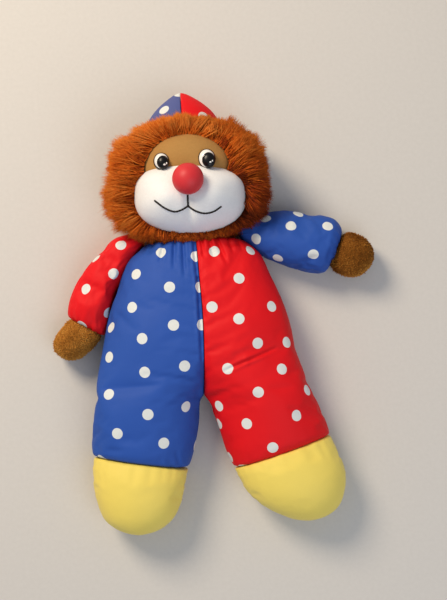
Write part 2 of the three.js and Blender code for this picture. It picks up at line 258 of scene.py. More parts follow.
def swell(covers):
    """Blows up sewn covers together as cloth: each with what is held and its SWELL values."""
    starts = [positions(piece) for piece, *_ in covers]
    for piece, held, pressure, slack, _ in covers:
        piece.vertex_groups.new(name="held").add(np.flatnonzero(held).tolist(), 1, "REPLACE")
        cloth = piece.modifiers.new("cloth", "CLOTH")
        cloth.point_cache.frame_start, cloth.point_cache.frame_end = 1, SWELL_FRAMES
        given = {"uniform_pressure_force": pressure, "shrink_min": -slack}
        for setting, value in (CLOTH | given).items():
            setattr(cloth.settings, setting, value)
        cloth.settings.vertex_group_mass = "held"
        cloth.settings.effector_weights.gravity = 0
        cloth.collision_settings.use_collision = False
    for number in range(1, SWELL_FRAMES + 1):
        scene.frame_set(number)
    for start, (piece, _, _, _, cap) in zip(starts, covers):
        settle(piece)
        move = positions(piece) - start
        size = np.linalg.norm(move, axis=1, keepdims=True)
        move *= np.minimum(1, cap * MM / np.maximum(size, 1e-9))
        set_positions(piece, start + move)
        piece.vertex_groups.clear()
    scene.frame_set(1)


# ---- materials ----
def rgb(red, green, blue):
    """A colour given from 0 to 255 as the linear one that shaders take."""
    curve = [v / 255 for v in (red, green, blue)]
    return tuple(v / 12.92 if v <= 0.04045 else ((v + 0.055) / 1.055) ** 2.4 for v in curve) + (1,)


class Finish:
    """A material whose nodes are added by short calls."""

    def __init__(self, name, colour, roughness, specular=0.3, sheen=0.0, sheen_tint=None, coat=0.0):
        self.material = bpy.data.materials.new(name)
        self.material.use_nodes = True
        self.material.diffuse_color = colour
        self.nodes = self.material.node_tree.nodes
        self.links = self.material.node_tree.links
        self.shader = self.nodes["Principled BSDF"]
        values = {
            "Base Color": colour, "Roughness": roughness, "Specular IOR Level": specular,
            "Sheen Weight": sheen, "Sheen Roughness": 0.5, "Sheen Tint": sheen_tint or (1, 1, 1, 1),
            "Coat Weight": coat, "Coat Roughness": 0.08,
        }
        for socket, value in values.items():
            self.shader.inputs[socket].default_value = value

    def add(self, kind, inputs=(), **settings):
        """A node with its settings and its inputs, which are given in order or by name."""
        node = self.nodes.new("ShaderNode" + kind)
        for name, value in settings.items():
            setattr(node, name, value)
        for socket, value in inputs.items() if isinstance(inputs, dict) else enumerate(inputs):
            self.put(node.inputs[socket], value)
        return node

    def put(self, socket, value):
        if isinstance(value, bpy.types.NodeSocket):
            self.links.new(value, socket)
        else:
            socket.default_value = value

    def rest(self, made_here=True):
        """Where the surface lies at rest, which stays with the cloth as a joint moves it."""
        if made_here:
            return self.add("Attribute", attribute_name="rest").outputs["Vector"]
        return self.add("TexCoord").outputs["Object"]

    def math(self, operation, a, b):
        return self.add("Math", (a, b), operation=operation).outputs[0]

    def noise(self, at, scale, detail=2.0, roughness=0.5):
        inputs = {"Vector": at, "Scale": scale, "Detail": detail, "Roughness": roughness}
        return self.add("TexNoise", inputs).outputs["Fac"]

    def ranged(self, value, low, high, to_low, to_high):
        return self.add("MapRange", (value, low, high, to_low, to_high)).outputs[0]

    def mix(self, share, a, b):
        return self.add("Mix", {"Factor": share, 6: a, 7: b}, data_type="RGBA").outputs[2]

    def bump(self, height, strength, distance):
        """Adds relief on top of what is there already."""
        last = self.shader.inputs["Normal"].links
        node = self.add("Bump", {"Strength": strength, "Distance": distance, "Height": height})
        if last:
            self.links.new(last[0].from_socket, node.inputs["Normal"])
        self.links.new(node.outputs[0], self.shader.inputs["Normal"])

    def colour(self, value):
        self.put(self.shader.inputs["Base Color"], value)

    def mottled(self, at, scale, detail, low, high):
        """Colours the surface unevenly, between two near shades."""
        self.colour(self.mix(self.noise(at, scale, detail), low, high))


def scaled(colour, share):
    return tuple(v * share for v in colour[:3]) + (1,)


def either_side(colour, spread):
    return scaled(colour, 1 - spread), scaled(colour, 1 + spread)


WEAVE_PITCH = 0.42 * MM
WAVE_GAP = 0.314  # metres between the bands of a wave texture of scale 1
DOT_RADIUS = 4.7 * MM
DOT_EDGE = 0.2 * MM
DOT_WHITE = rgb(224, 228, 226)
DYE = {"blue": rgb(42, 84, 172), "red": rgb(228, 14, 24)}


def woven(finish, colour, made_here=True):
    """Plain-weave cotton: soft unevenness of the dye, slubs and crossing threads."""
    rest = finish.rest(made_here)
    dyed = finish.mix(finish.noise(rest, 45, 3), *either_side(colour, 0.06))
    at = finish.add("UVMap", uv_map="cloth").outputs[0] if made_here else rest
    waves = {"Vector": at, "Scale": WAVE_GAP / WEAVE_PITCH, "Distortion": 0.6, "Detail": 1.0}
    crossed = [finish.add("TexWave", waves, bands_direction=way).outputs["Fac"] for way in "XY"]
    weave = finish.math("MAXIMUM", *crossed)
    grain = finish.mix(finish.ranged(weave, 0, 1, 0, 0.5), dyed, scaled(colour, 0.86))
    finish.bump(weave, 0.18, 0.12 * MM)
    finish.bump(finish.noise(rest, 160, 4, 0.6), 0.35, 0.35 * MM)
    return rest, grain


def printed_cotton(name, colour, dots):
    """Dotted cotton; dots are the points of the surface, in metres, at their middles."""
    finish = Finish(name, colour, 0.62, specular=0.22, sheen=0.04, sheen_tint=scaled(colour, 1.5))
    rest, ground = woven(finish, colour)
    wobble = finish.math("MULTIPLY", finish.noise(rest, 900, 1), DOT_EDGE * 1.5)
    nearest = None
    for dot in dots:
        away = finish.add("VectorMath", (rest, tuple(dot)), operation="DISTANCE").outputs["Value"]
        nearest = away if nearest is None else finish.math("MINIMUM", nearest, away)
    edge = finish.math("ADD", nearest, wobble)
    printed = finish.ranged(edge, DOT_RADIUS, DOT_RADIUS + DOT_EDGE, 1, 0)
    ink = finish.mix(finish.noise(rest, 500, 2), scaled(DOT_WHITE, 0.93), DOT_WHITE)
    finish.colour(finish.mix(printed, ground, ink))
    return finish.material


def plain_cotton(name, colour, made_here=True, roughness=0.6):
    finish = Finish(name, colour, roughness, specular=0.3, sheen=0.1)
    finish.colour(woven(finish, colour, made_here)[1])
    return finish.material


def plush(name, colour, pile, sheen=0.35, unevenness=0.22, clump=330):
    """Short pile: speckled where fibres lean apart, with a soft edge light."""
    finish = Finish(name, colour, 0.95, specular=0.1, sheen=sheen, sheen_tint=scaled(colour, 1.6))
    rest = finish.rest()
    broad = finish.noise(rest, 60, 3, 0.6)
    speckle = finish.noise(rest, clump, 4, 0.7)
    wear = finish.ranged(broad, 0.3, 0.7, 0, 1)
    worn = finish.mix(wear, scaled(colour, 0.94), scaled(colour, 1.05))
    leaning = finish.ranged(speckle, 0.35, 0.65, 0, 1)
    leaning = finish.mix(leaning, *either_side(colour, unevenness))
    finish.colour(finish.mix(0.5, worn, leaning))
    finish.bump(speckle, 0.7, pile)
    finish.bump(finish.noise(rest, clump * 4, 2), 0.5, pile / 3)
    return finish.material


def dress(piece, *materials):
    for material in materials:
        piece.data.materials.append(material)
    return piece


def ready(piece, body, slot, *nodes, fill=None):
    """Rides the piece on its body in place of its CAD nodes, which it hides; its material slot is
    not used.
    """
    if body:
        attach(piece, body)
    if nodes:
        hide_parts(*nodes)
    return piece


# ---- suit: two halves, each a side of the body with its trouser leg ----
# Plan positions of the seam side and of the outer side: from the neck down to the foot's seam.
SUIT_PLAN = {
    "red": [
        (3, 68, 20, 67), (3.6, 64, 37, 63.5), (4, 56.5, 47.5, 57.5), (4.2, 44, 57.8, 46.5),
        (4.4, 27, 63.8, 29.5), (4.8, 7, 72, 8.5), (4.4, -14, 77.8, -13), (3.2, -36, 81.5, -35),
        (1.6, -54, 87, -53), (0.6, -66.5, 90.8, -65), (6, -78.5, 94.8, -76.5),
        (11.7, -98.5, 100.3, -92.5), (16.8, -119.5, 103.6, -105), (21.4, -133.3, 104.9, -111.3),
    ],
    "blue": [
        (-3, 68, 20, 67), (-3.6, 64, 39, 64.5), (-4, 56.5, 47, 58.5), (-4.2, 44, 58, 47.5),
        (-4.4, 27, 65.5, 28), (-4.8, 7, 73.8, 8), (-4.4, -14, 79.6, -13.5), (-3.2, -36, 86, -36),
        (-1.6, -54, 91, -54), (-0.4, -64.5, 93.3, -66), (4, -77.7, 95.9, -80),
        (8.3, -98, 98, -95.5), (13.6, -117, 98.9, -108), (18.1, -130.2, 98.5, -113.4),
    ],
}
# Heights of the front and the back, and how much of them is left at the seam side.
SUIT_HEIGHTS = [
    (43, 9, 0.93), (48, 3.5, 0.93), (51, 1, 0.93), (54, 0.6, 0.93), (58, 0.3, 0.93),
    (60, 0.3, 0.92), (61.5, 0.3, 0.92), (61, 0.3, 0.88), (60, 0.3, 0.66), (59, 0.3, 0.3),
    (57.5, 0.3, 0.14), (55.5, 0.3, 0.1), (53.5, 0.3, 0.1), (50.5, 0.6, 0.1),
]
SUIT_ROWS, SUIT_STEPS, SUIT_WALL = 64, 30, 5
SUIT_LENGTH, SUIT_WIDTH = 205, 78  # of a half, from the neck to the foot and across
SUIT_SIDE = 0.47  # how far up the outer side is widest
SUIT_HELD = {"seam": 0.8, "crotch": -66, "neck": 62, "foot": 2.5}  # where sewn edges hold it
SLIT_Y = (-14, 40)
SLIT_HALF_WIDTH, SLIT_DEPTH = 7, 12
SEAM_TUCK, TUCK_REACH = 0.9, 5
PUCKERS = {"neck": (0.7, 22, 9), "foot": (0.5, 9, 7), "seam": (0.9, 8, 12)}  # depth, reach, width
TORSO_KEPT = 0.88  # sections that keep less of their height at the seam turn into a leg's
SEAM_DIP_WIDTH = 0.045
SEAM_GAP = 0.25  # from the middle seam to each half
TOP_FULLNESS, BACK_FULLNESS = 0.47, 0.3  # a lower power makes a section boxier


def suit_rows(colour):
    return through(np.hstack([SUIT_PLAN[colour], SUIT_HEIGHTS]), SUIT_ROWS)


def suit_grid(colour):
    share = (1 - np.cos(np.linspace(0, math.pi, SUIT_STEPS + 1))) / 2
    round_both = (1 - (2 * share - 1) ** 2).clip(0)
    round_outer = (1 - share**2.3).clip(0)
    grid = []
    for ix, iy, ox, oy, top, bottom, kept in suit_rows(colour):
        ix += SEAM_GAP
        side = bottom + SUIT_SIDE * (top - bottom)
        plan = np.outer(1 - share, (ix, iy)) + np.outer(share, (ox, oy))
        leg = 1 - min(1, kept / TORSO_KEPT)

        def height(power):
            whole = round_both**power * leg + round_outer**power * (1 - leg)
            return np.maximum(whole, kept * (1 - share) ** 6)

        seam_dip = 1 - (1 - kept) * (1 - leg) * np.exp(-share / SEAM_DIP_WIDTH)
        front = side + (top - side) * height(TOP_FULLNESS) * seam_dip
        back = side - (side - bottom) * height(BACK_FULLNESS)
        wall = np.linspace(back[0], front[0], SUIT_WALL + 2)[1:-1]
        over = np.column_stack([plan, front])
        under = np.column_stack([plan[-2::-1], back[-2::-1]])
        up = np.column_stack([np.tile((ix, iy), (SUIT_WALL, 1)), wall])
        grid.append(np.vstack([over, under, up]))
    grid = np.array(grid)
    grid[:, :, 0] *= TURN[colour]
    return grid


def puckers(place, away, position, seed):
    depth, reach, width = PUCKERS[place]
    return depth * np.exp(-away / reach) * folds(position, width, seed)


def gather_suit(grid, seed):
    """Soft puckers where the cloth is drawn in at the neck, the middle seam and the foot."""
    columns = np.arange(grid.shape[1])
    chord = np.minimum(columns, 2 * SUIT_STEPS - columns).clip(0)
    spread = ((1 - np.cos(math.pi * chord / SUIT_STEPS)) / 2 * SUIT_WIDTH)[None]
    down = (np.arange(SUIT_ROWS) * SUIT_LENGTH / SUIT_ROWS)[:, None]
    at_neck = puckers("neck", down, spread + 0 * down, seed)
    at_foot = puckers("foot", SUIT_LENGTH - down, spread + 0 * down, seed + 1)
    at_seam = puckers("seam", spread, down + 0.3 * spread, seed + 2)
    front = (columns <= SUIT_STEPS) * (chord > 0)
    grid[:, :, 2] += (at_neck + at_foot + at_seam) * front
    tuck = SEAM_TUCK * np.exp(-(SUIT_LENGTH - down) / TUCK_REACH)
    grid -= outward(grid) * (tuck * np.ones_like(spread))[:, :, None]
    return grid


def suit_half(colour):
    """A half of the suit, and which of its points sewn edges or the surface hold."""
    grid = gather_suit(suit_grid(colour), 5 if colour == "red" else 11)
    piece = ring_mesh("suit_" + colour, grid)
    points = own(positions(piece))
    ends = suit_rows(colour)
    x, y = points[:, 0] * TURN[colour], points[:, 1]
    seam_x = np.interp(-y, -ends[:, 1], ends[:, 0])
    held = (x < seam_x + SUIT_HELD["seam"]) & (y > SUIT_HELD["crotch"])
    held |= (y > SUIT_HELD["neck"]) | (points[:, 2] < LYING)
    last = ends[-1]
    across = unit(last[2:4] - last[:2])
    below = (x - last[0]) * -across[1] + (y - last[1]) * across[0]
    held |= below < SUIT_HELD["foot"]
    return piece, held


# Each pressed fold: where it starts, where it dies away, its depth and its width.
SUIT_CREASES = {
    "blue": [
        ((-7, 68), (-8, 30), 2.2, 1.5), ((-14, 68), (-16.5, 38), 2.0, 1.5),
        ((-22, 68), (-28, 45), 2.4, 1.6), ((-31, 66), (-38, 53), 1.6, 1.7),
        ((1.6, 66), (3, 20), 1.8, 1.3), ((3.2, 30), (1, -50), 2.0, 1.3),
        ((-30, -131), (-36, -118), 1.2, 1.5), ((-24, -132), (-27, -112), 1.4, 1.5),
    ],
    "red": [
        ((8, 68), (9.5, 46), 1.8, 1.4), ((14, 68), (18, 45), 2.0, 1.5),
        ((20, 67), (29, 39), 2.3, 1.6), ((30, 66), (35, 48), 1.8, 1.5),
        ((38, 63), (43, 50), 1.4, 1.6), ((36.8, -42.8), (17, -50), 1.7, 1.3),
        ((39.2, -42), (66, -33), 1.7, 1.3), ((30, -37), (44, -31.5), 0.7, 2.4),
    ],
}


def cut_slit(piece):
    """Opens the middle seam at the back for the hand."""
    edit = bmesh.new()
    edit.from_mesh(piece.data)
    cut = []
    for face in edit.faces:
        x, y, z = own(face.calc_center_median())
        if abs(x) < SLIT_HALF_WIDTH and SLIT_Y[0] < y < SLIT_Y[1] and z < SLIT_DEPTH:
            cut.append(face)
    bmesh.ops.delete(edit, geom=cut, context="FACES")
    edit.to_mesh(piece.data)
    edit.free()


# ---- stuffed limbs ----
PILLOW_SIDE = 0.48  # how far up a stuffed form is widest


def pillow_grid(plan, heights, rows, around, top, back):
    """Rings of a stuffed form whose sections run between two plan points.

    top holds how boxy its front is towards the inner and the outer side; less is boxier."""
    stations = through(np.hstack([plan, heights]), rows)
    angle = ring_angles(around)
    share = (1 - np.cos(angle)) / 2
    rise = np.sin(angle)
    power = np.where(rise > 0, 2 * (top[0] + (top[1] - top[0]) * share), back * 2)
    rise = np.sign(rise) * np.abs(rise) ** power
    grid = []
    for ix, iy, ox, oy, high, low in stations:
        side = low + PILLOW_SIDE * (high - low)
        plan_at = np.outer(1 - share, (ix, iy)) + np.outer(share, (ox, oy))
        z = side + np.where(rise > 0, (high - side) * rise, (side - low) * rise)
        grid.append(np.column_stack([plan_at, z]))
    return np.array(grid)


def outward(grid):
    normals = grid_normals(grid)
    return -normals if inwards(normals, grid) else normals


def gathered(grid, from_start, reach, depth, wavelength, seed):
    """Folds that run in from one end of a form and die away."""
    girth = run_along(grid[len(grid) // 2])
    count = max(3, round(girth[-1] / wavelength))
    even = girth * count * wavelength / girth[-1]
    down = run_along(grid.mean(1))
    away = down if from_start else down[-1] - down
    amount = depth * np.exp(-away / reach)[:, None] * folds(even, wavelength, seed)[None]
    return grid + outward(grid) * amount[:, :, None]


FOOT_PLAN = {
    "left": [
        (21.3, -132.6, 104.4, -110.4), (23.4, -139.5, 108.8, -121), (28.6, -151.2, 114, -135.5),
        (36.7, -161.6, 115.4, -148), (47, -169.8, 112.6, -162.5), (58.5, -176.4, 106.3, -174),
        (68.7, -181.2, 94, -181.3), (79, -183, 84, -183.2),
    ],
    "right": [
        (18.6, -129.9, 98, -113.3), (20.8, -138.5, 100, -125), (23.4, -148, 100.2, -138),
        (28.2, -161, 98.2, -152.5), (34.4, -171.2, 93.6, -167), (43.4, -178.6, 84, -176.6),
        (54, -182.6, 72.5, -181.8), (62, -183.6, 66, -183.6),
    ],
}
FOOT_HEIGHTS = [(50, 1), (53, 0.3), (53, 0.3), (51.5, 0.3), (47.5, 0.6), (41, 2), (33, 6), (22, 14)]

SLEEVE_PLAN = {
    "left": [
        (44, 62, 41, 74), (51, 56, 53, 82), (62, 46, 66.5, 84.3), (76, 39.5, 84, 84.3),
        (88, 34.2, 99, 81.2), (100, 30, 113.6, 78.2), (109, 28.7, 125.5, 73.2),
        (115, 30, 131, 65), (118, 36, 131.3, 58), (119.5, 42, 128, 54),
    ],
    "right": [
        (43, 64, 42, 74), (47.5, 58, 52, 75.5), (54, 50, 66, 72), (59.5, 40, 77.5, 62.5),
        (64.5, 29, 89.4, 49.4), (70.5, 17.5, 100.3, 35), (77, 5.5, 108.3, 21.8),
        (80.5, -6.5, 112.6, 11), (83, -12, 110.5, 5), (87.5, -9, 104, 3),
    ],
}
SLEEVE_HEIGHTS = [
    (30, 9), (35, 5), (38.5, 2), (40.5, 0.6), (41, 0.3), (40.5, 0.3), (39, 0.5), (35, 2), (29, 7),
    (25, 10),
]
HAND_PLAN = {
    "left": [
        (119, 40, 127, 54), (119.8, 34, 131.2, 59.3), (123, 29.2, 137, 61.6),
        (129.3, 25.4, 144, 59.2), (137, 23.6, 150.6, 55), (144.6, 25, 154.8, 49.2),
        (150.6, 28.8, 156.4, 43.6), (154.6, 34, 156.4, 38.2),
    ],
    "right": [
        (91, -2, 103.5, 3.5), (86.5, -11, 111.6, 4.6), (89.6, -16, 118.3, -1.7),
        (94.6, -21, 123.7, -8), (100.4, -25, 126.5, -13.8), (105.4, -28.2, 126, -19.6),
        (112, -29.2, 122, -25.4), (115.8, -28.8, 118.6, -27.8),
    ],
}
HAND_HEIGHTS = [(23, 11), (29, 5), (33, 1.5), (34.5, 0.3), (34, 0.3), (31, 1), (26, 4), (19, 11)]

# Of each kind: its plan and heights, its rings and the points of each, how boxy it is in front
# and behind, and its gathers: whether they are at its start, how far they reach, how deep and
# wide they are, and their seeds on the left and on the right.
LIMBS = {
    "foot": (FOOT_PLAN, FOOT_HEIGHTS, 30, 72, (0.5, 0.5), 0.32, [(True, 7, 0.6, 4.5, 21, 23)]),
    "sleeve": (
        SLEEVE_PLAN, SLEEVE_HEIGHTS, 34, 60, (0.3, 0.5), 0.32,
        [(False, 9, 1.0, 8, 31, 35), (True, 12, 0.8, 9, 32, 36)],
    ),
    "hand": (HAND_PLAN, HAND_HEIGHTS, 30, 56, (0.5, 0.5), 0.4, [(True, 5, 0.6, 6, 41, 43)]),
}
FOOT_RING_GAP = 2.6
RIM_WIDTH, RIM_START, RIM_DEPTH = 0.3, 6, 0.5  # of the puckers along a foot's side


def limb(kind, side):
    plan, heights, rings, around, top, back, gathers = LIMBS[kind]
    grid = pillow_grid(plan[side], heights, rings, around, top, back)
    if side == "right":
        grid[:, :, 0] *= -1
    for *folded, left_seed, right_seed in gathers:
        grid = gathered(grid, *folded, left_seed if side == "left" else right_seed)
    return grid


def held_rings(piece, around, *rings):
    """Which points of a form sewn edges, given as spans of rings, or the surface hold."""
    held = positions(piece)[:, 2] < LYING * MM
    for first, end in rings:
        held[first * around : end * around] = True
    return held


def foot(side):
    grid = limb("foot", side)
    rings, around = grid.shape[:2]
    at_rim = np.exp(-((np.sin(ring_angles(around)) / RIM_WIDTH) ** 2))[None]
    along = np.arange(rings)[:, None] * FOOT_RING_GAP + 0 * at_rim
    rim = at_rim * RIM_DEPTH * (folds(along, 6.5, 27) - 0.5) * (along > RIM_START)
    piece = ring_mesh("boot_" + side, grid + outward(grid) * rim[:, :, None])
    return piece, held_rings(piece, around, (0, 1))


def sleeve(side):
    """A sleeve, held at its shoulder and at its cuff."""
    grid = limb("sleeve", side)
    rings, around = grid.shape[:2]
    piece = ring_mesh("sleeve_form_" + side, grid)
    return piece, held_rings(piece, around, (0, 4), (rings - 2, rings))


# ---- prints ----
SUIT_DOTS = {
    "blue": [
        (-26, 54), (-49, 38), (-21, 24), (-54, 10), (-20, -8), (-74, -5), (-47, -17), (-77, -30),
        (-47, -45), (-13.5, -42.5), (-79, -61), (-47, -80), (-15.5, -76.5), (-74, -94), (-36, -105),
        (2.4, 48.5), (3.7, 22), (3.4, -9.5), (-11, -111), (-89.5, -114.5),
    ],
    "red": [
        (18.5, 51.5), (49.5, 51), (37.5, 27), (13, 4.5), (63, 1.5), (34.5, -7), (48.5, -28.5),
        (73.5, -29.5), (22, -47.5), (67, -51.5), (45.5, -69), (87.5, -71), (12, -78.5), (34, -94.5),
        (76, -91), (54, -116), (10.7, -93.9), (18, -123), (29, -130.5),
    ],
}
SLEEVE_DOTS = {
    "left": [
        (85.7, 69.5), (55, 60.7), (117.3, 67), (102.4, 43), (72.6, 43), (65, 78.4), (93.6, 80.8)
    ],
    "right": [(-60.7, 65), (-83, 55.5), (-68.5, 40.5), (-93.3, 29.5), (-99.4, -0.2), (-77, 8.5)],
}
HAT_DOTS = {"blue": [(-14.7, 177.2), (-0.6, 192.2), (-6, 160)], "red": [(18.6, 168), (5, 158)]}
BACK_PITCH, BACK_START = (27, 30), (9, 8)  # of the dots out of sight, which are guessed
DOTS_APART = 15
ABOVE, BELOW, MIDDLE_HEIGHT = 200, -50, 26


def on_surface(piece, spots, from_below=False):
    """The points of the piece that lie over, or under, plan positions."""
    tree = surface_tree(piece)
    found = []
    for x, y in spots:
        start = world([x, y, BELOW if from_below else ABOVE])
        hit = tree.ray_cast(Vector(start), Vector((0, 0, 1 if from_below else -1)))[0]
        found.append(hit or tree.find_nearest(Vector(world([x, y, MIDDLE_HEIGHT])))[0])
    return found


def surface_tree(piece):
    return BVHTree.FromObject(piece, bpy.context.evaluated_depsgraph_get())


def back_spots(piece, front):
    """A staggered row pattern of dots over the back of a piece, clear of those at the front."""
    points = own(positions(piece))
    low, high = points.min(0), points.max(0)
    spots = []
    for column in range(math.ceil((high[0] - low[0]) / BACK_PITCH[0])):
        shift = BACK_PITCH[1] / 2 * (column % 2)
        x = low[0] + BACK_START[0] + column * BACK_PITCH[0]
        for row in range(math.ceil((high[1] - low[1]) / BACK_PITCH[1])):
            spots.append((x, low[1] + BACK_START[1] + shift + row * BACK_PITCH[1]))
    tree = surface_tree(piece)
    hits = [tree.ray_cast(Vector(world([x, y, BELOW])), Vector((0, 0, 1)))[0] for x, y in spots]
    return [h for h in hits if h and min((h - f).length for f in front) > DOTS_APART * MM]


# ---- head ----
SKIRT_SHARES, SKIRT_PULL = (1, 0.6, 0.25), 0.14  # a cap's edge goes down and is drawn in


def polar(angle, reach, middle):
    """Plan points at angles and distances from a middle."""
    return np.column_stack([np.cos(angle), np.sin(angle)]) * reach[:, None] + middle


def dome(name, middle, outline, edge_height, crown, rings, around, skirt=14):
    """A stuffed cap over a closed outline: rings shrink from the outline to its middle."""
    angle = ring_angles(around)
    reach = outline(angle)
    low = edge_height(angle)
    grid = []
    for share in SKIRT_SHARES:
        plan = polar(angle, reach * (1 - SKIRT_PULL * share**2), middle)
        grid.append(np.column_stack([plan, low - skirt * share]))
    for share in np.cos(np.linspace(0, math.pi / 2, rings, endpoint=False)):
        plan = polar(angle, reach * share, middle)
        grid.append(np.column_stack([plan, crown(plan[:, 0], plan[:, 1], share, low)]))
    return ring_mesh(name, np.array(grid), open_start=True)


# Outlines: half the width, the height above and below the middle, and how boxy each half is.
MUZZLE_OUTLINE, FOREHEAD_OUTLINE = (47.8, 25.5, 31, 2.95, 2.12), (38.5, 32, 12, 2, 2)
MUZZLE_MIDDLE, MUZZLE_TILT = (1.5, 99), math.radians(4.6)
MUZZLE_TOP, MUZZLE_EDGE, MUZZLE_EDGE_RISE = 78, 44, 22
CHEEK_MIDDLE, CHEEK_X, CHEEK_Y, CHEEK_R, CHEEK_RISE = 1, 21, 97, 15, 7
GROOVE_X, GROOVE_WIDTH, GROOVE_FADE, GROOVE_DEPTH = 0.5, 4, 3, 4.4
FOREHEAD_MIDDLE, FOREHEAD_TOP, FOREHEAD_SLOPE = (1, 122), 71.5, 0.25
FOREHEAD_EDGE, FOREHEAD_EDGE_RISE = 48, 8
FALLS_FROM_Y = 125  # below this the forehead falls towards the muzzle
NOSE_MIDDLE, NOSE_R, NOSE_DEPTH = (2, 108.9, 86), 12.9, 0.96
EYE = {"left": (18.6, 127), "right": (-19.1, 127.9)}
EYE_HALF = {"left": (6.8, 7.8), "right": (6.1, 6.7)}  # the right eye sits tilted in its seam


def rounded(angle, wide, up, down, power_up, power_down):
    """The reach of an outline, which is boxier for a higher power, at each angle."""
    c, s = np.cos(angle), np.sin(angle)
    tall, power = np.where(s > 0, up, down), np.where(s > 0, power_up, power_down)
    return (np.abs(c / wide) ** power + np.abs(s / tall) ** power) ** (-1 / power)


def muzzle_outline(angle):
    return rounded(angle + MUZZLE_TILT, *MUZZLE_OUTLINE)


def muzzle_edge(angle):
    return MUZZLE_EDGE + MUZZLE_EDGE_RISE * np.sin(angle).clip(0) ** 1.3


def muzzle_crown(x, y, share, low):
    fall = (1 - share**2.4) ** 0.5
    height = low + (MUZZLE_TOP - low) * fall
    for side in (-1, 1):
        cheek_x = CHEEK_MIDDLE + CHEEK_X * side
        away = ((x - cheek_x) / CHEEK_R) ** 2 + ((y - CHEEK_Y) / CHEEK_R) ** 2
        height = height + CHEEK_RISE * np.exp(-away) * fall
    groove = np.exp(-(((x - GROOVE_X) / GROOVE_WIDTH) ** 2))
    groove = groove / (1 + np.exp((y - CHEEK_Y) / GROOVE_FADE))
    return height - GROOVE_DEPTH * groove * fall**0.5


def forehead_outline(angle):
    return rounded(angle, *FOREHEAD_OUTLINE)


def forehead_edge(angle):
    return FOREHEAD_EDGE + FOREHEAD_EDGE_RISE * (-np.sin(angle)).clip(0)


def forehead_crown(x, y, share, low):
    top = FOREHEAD_TOP - FOREHEAD_SLOPE * (FALLS_FROM_Y - y).clip(0)
    return low + (top - low) * (1 - share**2.1) ** 0.52


# ---- build ----
# Each stuffed cover's pressure, the slack of its cloth and the most that it may move, in mm.
SWELL = {"suit": (1.2, 0.02, 4), "boot": (1.2, 0.01, 2.5), "sleeve": (1.2, 0.03, 3)}
LEG_OF, SLEEVE_COLOUR = {"blue": "right", "red": "left"}, {"left": "blue", "right": "red"}


def dotted_cover(piece, name, colour, spots):
    """Prints dots where the photo shows them and, by guess, over the rest of the cover."""
    dots = on_surface(piece, spots)
    dots += back_spots(piece, dots)
    dress(piece, printed_cotton(name, DYE[colour], dots))


def build_suit():
    halves = {colour: suit_half(colour) for colour in ("blue", "red")}
    boots = {side: foot(side) for side in SIDES}
    sleeves = {side: sleeve(side) for side in SIDES}
    kinds = {"suit": halves, "boot": boots, "sleeve": sleeves}
    swell([(*made, *SWELL[kind]) for kind, group in kinds.items() for made in group.values()])
    for colour, (piece, _) in halves.items():
        finish_half(piece, colour)
    yellow = plain_cotton("yellow_broadcloth", rgb(244, 219, 104))
    for side, (piece, _) in boots.items():
        refine(piece)
        nodes = ["foot_" + side, "foot_stuffing_" + side]
        ready(dress(piece, yellow), "leg_" + side, YELLOW, *nodes, fill=0.85)
    for side, (piece, _) in sleeves.items():
        refine(piece)
        colour = SLEEVE_COLOUR[side]
        dotted_cover(piece, f"{colour}_sleeve_dotted", colour, SLEEVE_DOTS[side])
        nodes = ["sleeve_" + colour, "sleeve_stuffing_" + side]
        ready(piece, "arm_" + side, DOTTED[colour], *nodes, fill=0.7)


def finish_half(piece, colour):
    refine(piece, 2, SUIT_CREASES[colour])
    cut_slit(piece)
    dotted_cover(piece, f"{colour}_dotted", colour, SUIT_DOTS[colour])
    leg = LEG_OF[colour]
    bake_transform(piece)
    nodes = [f"body_front_{colour}", f"body_back_{colour}", f"leg_{leg}_{colour}"]
    nodes += ["leg_stuffing_" + leg] + (["torso_stuffing"] if colour == "blue" else [])
    ready(piece, None, DOTTED[colour], *nodes, fill=0.75)


# The left hand's colour is darker than the right's, as painted shade over that hand.
HAND_DYE_AND_SHADE = {"left": rgb(122, 74, 24), "right": rgb(150, 98, 38)}
HAND_SHADES = [
    rgb(118, 68, 18), rgb(152, 96, 33), rgb(178, 118, 46), rgb(198, 138, 60), rgb(214, 156, 78)
]
HAND_PILE_COUNT, HAND_PILE_LENGTH, HAND_SEED = 9000, 0.84, 19
PILE_SCATTER, PILE_LEAN, PILE_WIDTHS = 0.35, 0.55, (0.4, 0.6)


def build_hands():
    tan = {side: plush("hand_plush_" + side, HAND_DYE_AND_SHADE[side], 0.9 * MM) for side in HAND_DYE_AND_SHADE}
    pile = fibres("hand_pile_", HAND_SHADES, 0.12, 0.3, 1.5)
    for side in SIDES:
        piece = ring_mesh("paw_" + side, limb("hand", side))
        refine(piece)
        nodes = ["hand_" + side, "hand_stuffing_" + side]
        ready(dress(piece, tan[side]), "arm_" + side, TAN, *nodes, fill=0.9)
        ready(dress(short_pile(piece, side), *pile), "arm_" + side, TAN)


def fibres(name, shades, specular, sheen, tint):
    """A material for each shade of a pile."""
    return [
        Finish(f"{name}{number}", shade, 0.8, specular, sheen, scaled(shade, tint)).material
        for number, shade in enumerate(shades)
    ]


